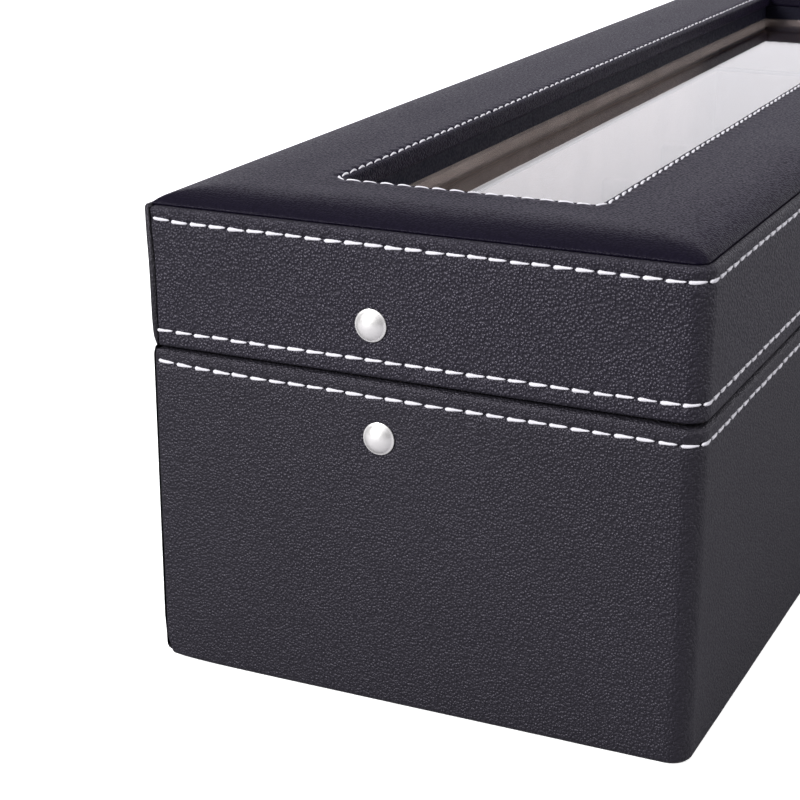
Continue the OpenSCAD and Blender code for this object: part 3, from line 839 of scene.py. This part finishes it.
def clasp_metal():
    """The rivet that holds the tab to the lid and the button at its free end."""
    face_front = Matrix.Rotation(math.radians(90), 4, "X")
    spot = Matrix.Translation((0, TAB_FRONT_Y + 0.02, (rivet_lo.z + rivet_hi.z) / 2)) @ face_front
    verts, faces = lathe(rivet_profile(rivet_hi.y - TAB_FRONT_Y - 0.75, 0), spot)
    finish_piece(make_mesh("clasp_rivet", verts, faces, NICKEL), "lid", "nickel", "tab_rivet")
    radius, deep = (button_hi.x - button_lo.x) / 2, button_hi.y - TAB_FRONT_Y
    profile = [(r, h + 0.1) for r, h in cap_profile(radius, TAB_FRONT_Y - button_lo.y - 0.1)[:-1]]
    profile += [(POST_R, -0.06), (POST_R, 0.55 - deep), (4.1, 0.5 - deep), (4.2, 0.4 - deep),
                (4.2, 0.08 - deep), (4.1, -deep), (0.001, -deep)]
    spot = Matrix.Translation((0, TAB_FRONT_Y, (button_lo.z + button_hi.z) / 2)) @ face_front
    verts, faces = lathe(profile, spot)
    finish_piece(make_mesh("clasp_button", verts, faces, NICKEL), "tab", "nickel", "tab_button")


# ---------- inside ----------

def soft_block(lo, hi, radius, step, wave, seed):
    """Board covered in fabric: a box with round edges and faces that aren't quite flat."""
    stops = []
    for a, b in zip(lo, hi):
        ends = [0, 0.3 * radius, 0.65 * radius, radius]
        count = max(1, round((b - a - 2 * radius) / step))
        middle = [a + radius + (b - a - 2 * radius) * k / count for k in range(1, count)]
        stops.append([a + e for e in ends] + middle + [b - e for e in reversed(ends)])
    verts, faces = [], []
    for axis in range(3):
        u, v = (axis + 1) % 3, (axis + 2) % 3
        for side in (lo[axis], hi[axis]):
            faces += loft_faces(len(stops[u]), len(stops[v]), len(verts), close_columns=False)
            for a in stops[u]:
                for b in stops[v]:
                    p = Vector((0, 0, 0))
                    p[axis], p[u], p[v] = side, a, b
                    core = Vector([min(max(p[k], lo[k] + radius), hi[k] - radius)
                                   for k in range(3)])
                    out = (p - core).normalized()
                    ripple = noise.noise(Vector((p.x / 13, p.y / 13, p.z / 13 + seed)))
                    inward = wave * (0.5 + 0.5 * ripple)
                    verts.append(core + out * (radius - inward))
    return verts, faces


def covered_board(name, node, body, radius, wave, material, slot, step=4.0):
    """A soft block in the place of a lining, a divider or the felt."""
    lo, hi = cad_box(node)
    verts, faces = soft_block(lo, hi, radius, step, wave, len(name))
    finish_piece(make_mesh(name, verts, faces, material), body, slot, node)


def linings():
    """Velvet glued to the walls and floor, the covered dividers and the felt under the base."""
    for part in ("base", "lid"):
        for wall in ("front", "back", "left", "right"):
            covered_board(f"{part}_{wall}_velvet", f"{part}_{wall}_lining", part,
                          0.42, 0.10, VELVET_PAINTED_LIGHTER, "velvet")
    covered_board("floor_velvet", "floor_lining", "base", 0.5, 0.14, VELVET_PAINTED_LIGHTER, "velvet")
    covered_board("felt_pad", "base_felt", "base", 0.42, 0.05, FELT, "felt", 8.0)
    for k in range(1, 6):
        covered_board(f"velvet_divider_{k}", f"divider_{k}", "base",
                      1.35, 0.12, VELVET_PAINTED_LIGHTER, "velvet", 3.0)


def velvet_frame():
    """Velvet-covered frame that holds the glass up from below."""
    lo, hi = cad_box("glass_frame")
    glass_lo, glass_hi = cad_box("window_glass")
    lap = glass_hi.x - WIN_X + 0.2
    under, seat = lo.z, glass_lo.z - 0.04
    # share of the way to the frame's outer edge, distance outside the window, height
    section = [(0.0, 4.0, under)]
    section += [(0.0, o, z) for o, z in arc(1.1, under + 1.1, 1.1, 262, 180, 7)]
    section += [(0.0, o, z) for o, z in arc(0.6, seat - 0.6, 0.6, 180, 96, 5)]
    section += [(0.0, 3.0, seat), (0.0, lap, seat), (0.0, lap, hi.z - 0.05), (1.0, 0, hi.z - 0.05)]
    section += [(1.0, 0, under + 0.4), (0.98, 0, under + 0.1), (0.94, 0, under)]
    section += [(u, 0, under) for u in (0.85, 0.7, 0.55, 0.4, 0.25, 0.1)]
    outer = Loop(hi.x - 0.06, lo.y + 0.06, hi.y - 0.06, 0.5, 0.5)
    columns = window_loop(2).columns(5.0)
    verts = []
    for u, out, z in section:
        for part, share, _ in columns:
            a, _ = window_loop(out if u == 0 else 4.0).at(part, share)
            p = a.lerp(outer.at(part, share)[0], u)
            wave = 0.10 * noise.noise(Vector((p.x / 15, p.y / 15, z / 9 + 40)))
            verts.append((p.x, p.y, z + (wave if 0 < u < 0.9 else 0)))
    faces = loft_faces(len(section), len(columns), close_rows=True)
    obj = make_mesh("velvet_frame", verts, faces, VELVET_PAINTED_LIGHTER)
    finish_piece(obj, "lid", "velvet", "glass_frame")


# ---------- cushions ----------

SIM_SCALE = 10                  # cloth behaves better on a larger mesh
SIM_VOXEL = 5.0                 # mesh size before the simulation
SIM_PRESSURE = 4                # air in the cushion
SIM_FRAMES = 20
SIM_CAP = 5.0                   # the furthest a point may move
LUMPS = 5.0                     # frequency of the cushion's lumps, on the larger mesh


def applied(obj):
    """Replaces obj's mesh with the result of its modifiers."""
    seen = obj.evaluated_get(bpy.context.evaluated_depsgraph_get())
    data = bpy.data.meshes.new_from_object(seen)
    obj.modifiers.clear()
    obj.data = data


def plumped(half, long, tall, radius, crease, seed):
    """A stuffed cushion centred on the origin, as a mesh in metres.

    It starts smaller than its solid, swells in the simulation, and gets its seam last.
    """
    side, length, height = half - 2.4, long - 2.0, tall - 2.0
    ring = []
    for cy, cz, start in ((1, 1, 0), (-1, 1, 90), (-1, -1, 180), (1, -1, 270)):
        ring += arc(cy * (length - radius), cz * (height - radius), radius, start, start + 90, 6)
    stations = [(-side, 4.0), (0.6 - side, 1.2), (2.4 - side, 0.0)]
    stations += [(x * side / 4, 0.0) for x in range(-3, 4)] + [(-x, inset) for x, inset in reversed(stations)]
    verts = []
    for x, inset in stations:
        squeeze = 1 - inset / radius * 0.22
        verts += [(x, y * squeeze, z * squeeze) for y, z in ring]
    faces = loft_faces(len(stations), len(ring))
    last = (len(stations) - 1) * len(ring)
    faces += [tuple(range(len(ring))), tuple(range(last, last + len(ring)))]
    obj = make_mesh("cushion_form", [Vector(v) * SIM_SCALE for v in verts], faces, CUSHION_VELVET)
    remesh = obj.modifiers.new("remesh", "REMESH")
    remesh.mode, remesh.voxel_size = "VOXEL", SIM_VOXEL * SIM_SCALE * MM
    applied(obj)
    rest = [v.co.copy() for v in obj.data.vertices]
    for v in obj.data.vertices:
        lump = noise.noise(v.co * LUMPS + Vector((seed, 0, 0)))
        v.co += v.normal * (0.8 * SIM_SCALE * MM * lump)
    cloth = obj.modifiers.new("cloth", "CLOTH")
    settings = cloth.settings
    settings.use_pressure, settings.uniform_pressure_force = True, SIM_PRESSURE
    settings.effector_weights.gravity = 0
    settings.quality, settings.mass = 6, 0.3
    settings.tension_stiffness = settings.compression_stiffness = 12
    settings.bending_stiffness = 0.6
    cloth.point_cache.frame_end = SIM_FRAMES
    for frame_number in range(1, SIM_FRAMES + 1):
        bpy.context.scene.frame_set(frame_number)
    applied(obj)
    bpy.context.scene.frame_set(1)
    cap = SIM_CAP * SIM_SCALE * MM
    for v, before in zip(obj.data.vertices, rest):
        step = v.co - before
        if step.length > cap:
            v.co = before + step * (cap / step.length)
    smooth = obj.modifiers.new("smooth", "SUBSURF")
    smooth.levels = smooth.render_levels = 2
    applied(obj)
    data = obj.data
    bpy.data.objects.remove(obj)
    data.transform(Matrix.Scale(1 / SIM_SCALE, 4))
    gap = 0.25                  # the cushion stays this far inside its own solid
    size = [max(abs(v.co[k]) for v in data.vertices) for k in range(3)]
    want = [n * MM for n in (half - gap, long - gap, tall - gap)]
    for v in data.vertices:
        v.co = Vector([v.co[k] * want[k] / size[k] for k in range(3)])
        x, y, z = v.co / MM
        seam = bell(abs(x) - (half - crease), 0.7)
        away = v.normal.copy()
        fold = 0.3 * noise.noise(Vector((x / 6, y / 9, z / 9 + seed)))
        v.co -= away * MM * (seam + max(fold, -0.1) * bell(abs(x) - half, 9))
    return data


def cushions():
    """Six velvet cushions, three shapes each used twice, the second one turned round."""
    lo, hi = cad_box("cushion_1")
    half, long, tall = (hi - lo) / 2
    shapes = [plumped(half, long, tall, radius=13.0, crease=3.2, seed=5 * k) for k in range(3)]
    for k in range(6):
        lo, hi = cad_box(f"cushion_{k + 1}")
        obj = bpy.data.objects.new(f"velvet_cushion_{k + 1}", shapes[k % 3])
        bpy.context.scene.collection.objects.link(obj)
        for face in obj.data.polygons:
            face.use_smooth = True
        turn = Matrix.Rotation(math.pi if k >= 3 else 0, 4, "Z")
        obj.matrix_world = Matrix.Translation((lo + hi) / 2 * MM) @ turn
        finish_piece(obj, f"cushion_{k + 1}", "velvet", f"cushion_{k + 1}")


# ---------- build ----------

dress_cad_nodes()
base_skin()
lid_skin()
pad_top()
back_cover()
side_stitching("base_stitches", BASE_ROW_Z, "base", "base_stitching", 1)
side_stitching("lid_hem_stitches", LID_ROW_Z, "lid", "lid_lower_stitching", 2)
side_stitching("lid_seam_stitches", TOP_ROW_Z, "lid", "lid_upper_stitching", 3)
window_stitches()
end_rivets("base_rivet_pair", BASE_RIVET, 8.2, 0, "base", "base_rivets")
end_rivets("lid_rivet_pair", LID_RIVET, 9.2, 1.1, "lid", "lid_rivets")
clasp()
clasp_metal()
linings()
velvet_frame()
cushions()


# ---------- studio ----------

CARD = 1.15                     # bright card behind the box, low over the floor
ROOF = 1.1                      # soft light overhead
SURROUND = 0.16                 # the rest of the room
FLOOR_GLOW = 0.62               # lifts the floor to white for the camera only
# name, place, aim (metres), size, power
LAMPS = [("key", (-1.20, 0.56, 0.66), (-0.165, 0, 0.05), 0.40, 26.0),
         ("fill", (0.20, -1.50, 0.80), (0, 0, 0.05), 0.80, 16.0)]
LENS = 88.2
CAMERA_PLACE = (-END_X - 279.4, -129.1, 161.8)
CAMERA_TURN = (25.14, -18.76)   # degrees from +X towards +Y, and up


def studio():
    """Pale floor, a bright backdrop behind the box and a softer light in front of it."""
    bpy.ops.mesh.primitive_plane_add(size=6)
    floor = bpy.context.object
    floor.name = "floor"
    n = Nodes("floor")
    seen = n.add("ShaderNodeLightPath").outputs["Is Camera Ray"]
    tone = n.mix(n.noise(300.0, 2.0), (0.86, 0.86, 0.865), (0.88, 0.88, 0.885))
    n.set(Base_Color=n.mix(seen, (0.36, 0.355, 0.375), tone), Roughness=0.8, Specular_IOR_Level=0.0,
          Emission_Color=(1, 1, 1, 1), Emission_Strength=n.maths("MULTIPLY", seen, FLOOR_GLOW))
    floor.data.materials.append(n.material)

    world = bpy.data.worlds.new("studio")
    bpy.context.scene.world = world
    world.use_nodes = True
    tree = world.node_tree

    def add(kind, **values):
        node = tree.nodes.new(kind)
        for key, value in values.items():
            setattr(node, key, value)
        return node

    def ramp(value, low, high, start, end):
        node = add("ShaderNodeMapRange", interpolation_type="SMOOTHSTEP")
        for key, number in (("From Min", low), ("From Max", high), ("To Min", start), ("To Max", end)):
            node.inputs[key].default_value = number
        tree.links.new(value, node.inputs["Value"])
        return node.outputs["Result"]

    def combine(operation, a, b):
        node = add("ShaderNodeMath", operation=operation)
        tree.links.new(a, node.inputs[0])
        tree.links.new(b, node.inputs[1])
        return node.outputs["Value"]

    where = add("ShaderNodeTexCoord").outputs["Generated"]
    split = add("ShaderNodeSeparateXYZ")
    tree.links.new(where, split.inputs[0])
    toward = add("ShaderNodeVectorMath", operation="DOT_PRODUCT")
    toward.inputs[1].default_value = (0.93, 0.37, 0)
    tree.links.new(where, toward.inputs[0])
    card = combine("MULTIPLY", ramp(toward.outputs["Value"], 0.45, 0.8, 0, CARD),
                   ramp(split.outputs["Z"], 0.33, 0.21, 0, 1))
    roof = ramp(split.outputs["Z"], 0.45, 0.85, SURROUND, ROOF)
    sky = tree.nodes["Background"]
    sky.inputs["Color"].default_value = (0.97, 0.96, 1.0, 1)
    tree.links.new(combine("ADD", card, roof), sky.inputs["Strength"])

    for name, place, aim, size, power in LAMPS:
        lamp = bpy.data.lights.new(name, "AREA")
        lamp.size, lamp.energy = size, power
        obj = bpy.data.objects.new(name, lamp)
        obj.location = place
        direction = Vector(aim) - Vector(place)
        obj.rotation_euler = direction.to_track_quat("-Z", "Y").to_euler()
        bpy.context.scene.collection.objects.link(obj)
    bpy.context.scene.view_settings.view_transform = "Standard"


def camera():
    """Long lens, close to the left end and a little to the front of it."""
    data = bpy.data.cameras.new("camera")
    data.lens, data.sensor_width = LENS, 36
    data.clip_start = 0.01
    cam = bpy.data.objects.new("camera", data)
    cam.location = Vector(CAMERA_PLACE) * MM
    turn, tilt = (math.radians(angle) for angle in CAMERA_TURN)
    aim = Vector((math.cos(turn) * math.cos(tilt), math.sin(turn) * math.cos(tilt), math.sin(tilt)))
    cam.rotation_euler = aim.to_track_quat("-Z", "Y").to_euler()
    bpy.context.scene.collection.objects.link(cam)
    bpy.context.scene.camera = cam


studio()
camera()
